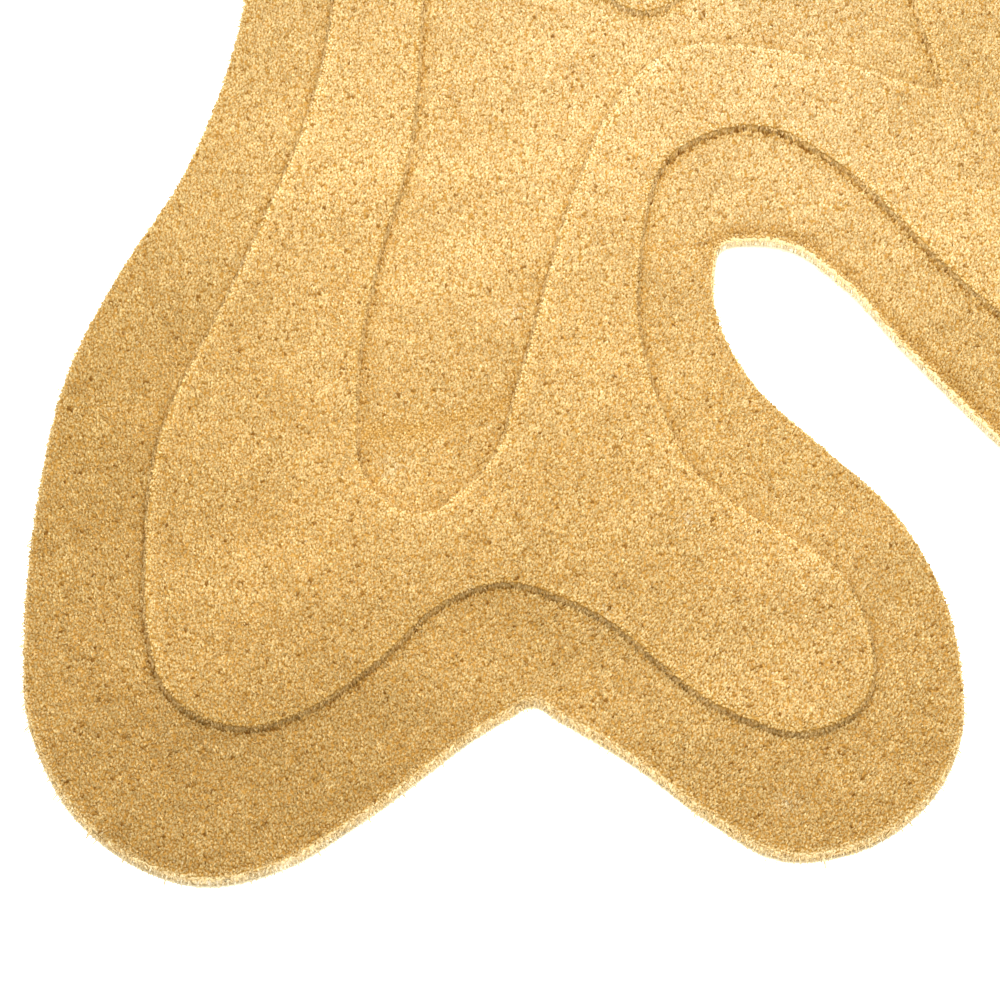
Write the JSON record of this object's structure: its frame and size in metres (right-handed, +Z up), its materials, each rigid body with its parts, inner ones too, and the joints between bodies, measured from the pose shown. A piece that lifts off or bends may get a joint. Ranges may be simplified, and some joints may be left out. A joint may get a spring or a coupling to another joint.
{
  "type": "tufted wool rug",
  "caption": "Free-form tufted wool rug with lobes and bays, carved contour relief in short and long cut pile, and a glued cloth backing.",
  "frame": {"origin": "middle of the bounding box on the floor, under the backing", "axes": "+Z up out of the pile; +Y along the rug's length, away from the pair of front lobes; +X to the right seen from the front"},
  "size_m": [1.2186, 1.676, 0.023],
  "materials": {
    "wool_pile": "ochre wool cut pile, matt, with a soft nap and pale yarn sides",
    "canvas_backing": "cream cotton canvas, matt, plain weave"
  },
  "bodies": {
    "root": {"pile": "wool_pile", "backing": "canvas_backing"}
  },
  "joints": []
}
